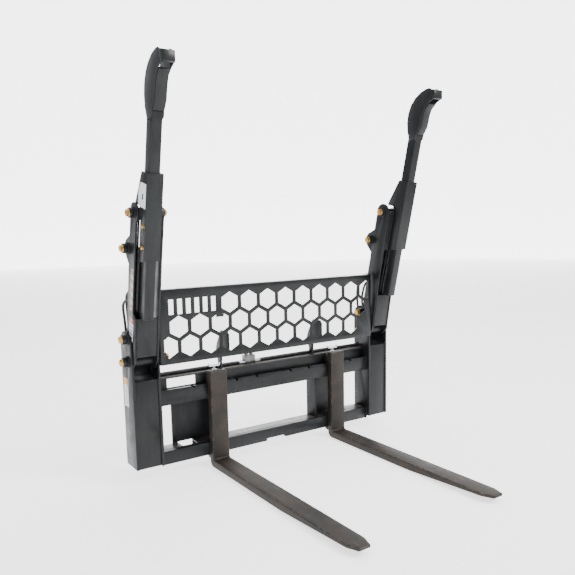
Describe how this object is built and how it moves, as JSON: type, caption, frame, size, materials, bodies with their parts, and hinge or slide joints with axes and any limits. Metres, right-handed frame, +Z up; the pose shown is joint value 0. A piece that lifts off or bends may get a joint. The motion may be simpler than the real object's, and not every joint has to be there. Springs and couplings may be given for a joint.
{
  "type": "pallet fork attachment",
  "caption": "Skid-steer pallet fork frame with a hexagon guard, sliding forks and hydraulic grapple arms whose clawed tips extend.",
  "frame": {"origin": "the centre of the upper fork rail's front face, midway between the towers; the floor under the forks is 429.5 mm below", "axes": "+Z up, -Y the way the forks point, +X to the right seen from the forks"},
  "size_m": [1.82, 1.4531, 2.0737],
  "materials": {
    "frame_paint": "semi-gloss charcoal paint",
    "arm_paint": "semi-gloss charcoal paint",
    "cylinder_paint": "gloss black paint",
    "fork_steel": "worn dark paint over forged steel",
    "yellow_zinc": "yellow zinc plating",
    "bright_zinc": "bright zinc plating",
    "chrome_rod": "hard chrome",
    "hose_rubber": "matt black hose cover",
    "manifold_steel": "dull plated steel"
  },
  "bodies": {
    "frame": {"left_tower_outer_plate": "frame_paint", "left_tower_inner_plate": "frame_paint", "left_tower_front_plate": "frame_paint", "right_tower_outer_plate": "frame_paint", "right_tower_inner_plate": "frame_paint", "right_tower_front_plate": "frame_paint", "tower_bosses": "frame_paint", "arm_pivot_pins": "yellow_zinc", "cylinder_base_pins": "yellow_zinc", "upper_rail": "frame_paint", "lower_rail": "frame_paint", "shelf_plate": "frame_paint", "web_plate": "frame_paint", "top_plate": "frame_paint", "left_attach_plate": "frame_paint", "right_attach_plate": "frame_paint", "guard_panel": "frame_paint", "guard_brackets": "frame_paint", "hose_manifold": "manifold_steel", "cross_hoses": "hose_rubber", "left_arm_hoses": "hose_rubber", "right_arm_hoses": "hose_rubber"},
    "left_fork": {"left_fork": "fork_steel", "left_fork_hooks": "fork_steel"},
    "left_latch": {"left_fork_latch": "bright_zinc"},
    "left_arm": {"left_arm_outer_plate": "arm_paint", "left_arm_inner_plate": "arm_paint", "left_arm_front_plate": "arm_paint", "left_pivot_tube": "arm_paint", "left_arm_bosses": "arm_paint", "left_arm_pin_ends": "yellow_zinc", "left_sleeve": "arm_paint", "left_jam_bolts": "yellow_zinc"},
    "left_extension": {"left_extension_tube": "arm_paint", "left_claw_plates": "arm_paint", "left_claw_tip": "arm_paint"},
    "left_barrel": {"left_cylinder_barrel": "cylinder_paint", "left_cylinder_gland": "cylinder_paint"},
    "left_rod": {"left_cylinder_rod": "chrome_rod", "left_rod_eye_pin": "yellow_zinc"},
    "right_fork": {"right_fork": "fork_steel", "right_fork_hooks": "fork_steel"},
    "right_latch": {"right_fork_latch": "bright_zinc"},
    "right_arm": {"right_arm_outer_plate": "arm_paint", "right_arm_inner_plate": "arm_paint", "right_arm_front_plate": "arm_paint", "right_pivot_tube": "arm_paint", "right_arm_bosses": "arm_paint", "right_arm_pin_ends": "yellow_zinc", "right_sleeve": "arm_paint", "right_jam_bolts": "yellow_zinc"},
    "right_extension": {"right_extension_tube": "arm_paint", "right_claw_plates": "arm_paint", "right_claw_tip": "arm_paint"},
    "right_barrel": {"right_cylinder_barrel": "cylinder_paint", "right_cylinder_gland": "cylinder_paint"},
    "right_rod": {"right_cylinder_rod": "chrome_rod", "right_rod_eye_pin": "yellow_zinc"}
  },
  "joints": [
    {"name": "left_arm_swing", "type": "hinge", "parent": "frame", "child": "left_arm", "pos_m": [0, 0.022, 0.2185], "axis": [1, 0, 0], "range_deg": [0, 85], "deforming": ["left_arm_hoses"]},
    {"name": "left_barrel_tilt", "type": "hinge", "parent": "frame", "child": "left_barrel", "pos_m": [0, 0.015, 0.3375], "axis": [1, 0, 0], "range_deg": [0, 92.5], "deforming": ["left_arm_hoses"]},
    {"name": "left_rod_slide", "type": "slide", "parent": "left_barrel", "child": "left_rod", "axis": [0, -0.2464, 0.9692], "range_m": [0, 0.136]},
    {"name": "left_extension_slide", "type": "slide", "parent": "left_arm", "child": "left_extension", "axis": [0, -0.2368, 0.9715], "range_m": [0, 0.25]},
    {"name": "left_fork_slide", "type": "slide", "parent": "frame", "child": "left_fork", "axis": [1, 0, 0], "range_m": [-0.135, 0.27]},
    {"name": "left_latch_lift", "type": "slide", "parent": "left_fork", "child": "left_latch", "axis": [0, 0, 1], "range_m": [-0.012, 0]},
    {"name": "right_arm_swing", "type": "hinge", "parent": "frame", "child": "right_arm", "pos_m": [0, 0.022, 0.2185], "axis": [1, 0, 0], "range_deg": [0, 85], "deforming": ["right_arm_hoses"]},
    {"name": "right_barrel_tilt", "type": "hinge", "parent": "frame", "child": "right_barrel", "pos_m": [0, 0.015, 0.3375], "axis": [1, 0, 0], "range_deg": [0, 92.5], "deforming": ["right_arm_hoses"]},
    {"name": "right_rod_slide", "type": "slide", "parent": "right_barrel", "child": "right_rod", "axis": [0, -0.2464, 0.9692], "range_m": [0, 0.136]},
    {"name": "right_extension_slide", "type": "slide", "parent": "right_arm", "child": "right_extension", "axis": [0, -0.2368, 0.9715], "range_m": [0, 0.25]},
    {"name": "right_fork_slide", "type": "slide", "parent": "frame", "child": "right_fork", "axis": [1, 0, 0], "range_m": [-0.324, 0.135]},
    {"name": "right_latch_lift", "type": "slide", "parent": "right_fork", "child": "right_latch", "axis": [0, 0, 1], "range_m": [-0.012, 0]}
  ],
  "couplings": [
    {"joint": "left_barrel_tilt", "follows": "left_arm_swing", "ratio": 1.0826},
    {"joint": "left_rod_slide", "follows": "left_arm_swing", "m_per_rad": 0.091128},
    {"joint": "right_barrel_tilt", "follows": "right_arm_swing", "ratio": 1.0826},
    {"joint": "right_rod_slide", "follows": "right_arm_swing", "m_per_rad": 0.091128}
  ]
}
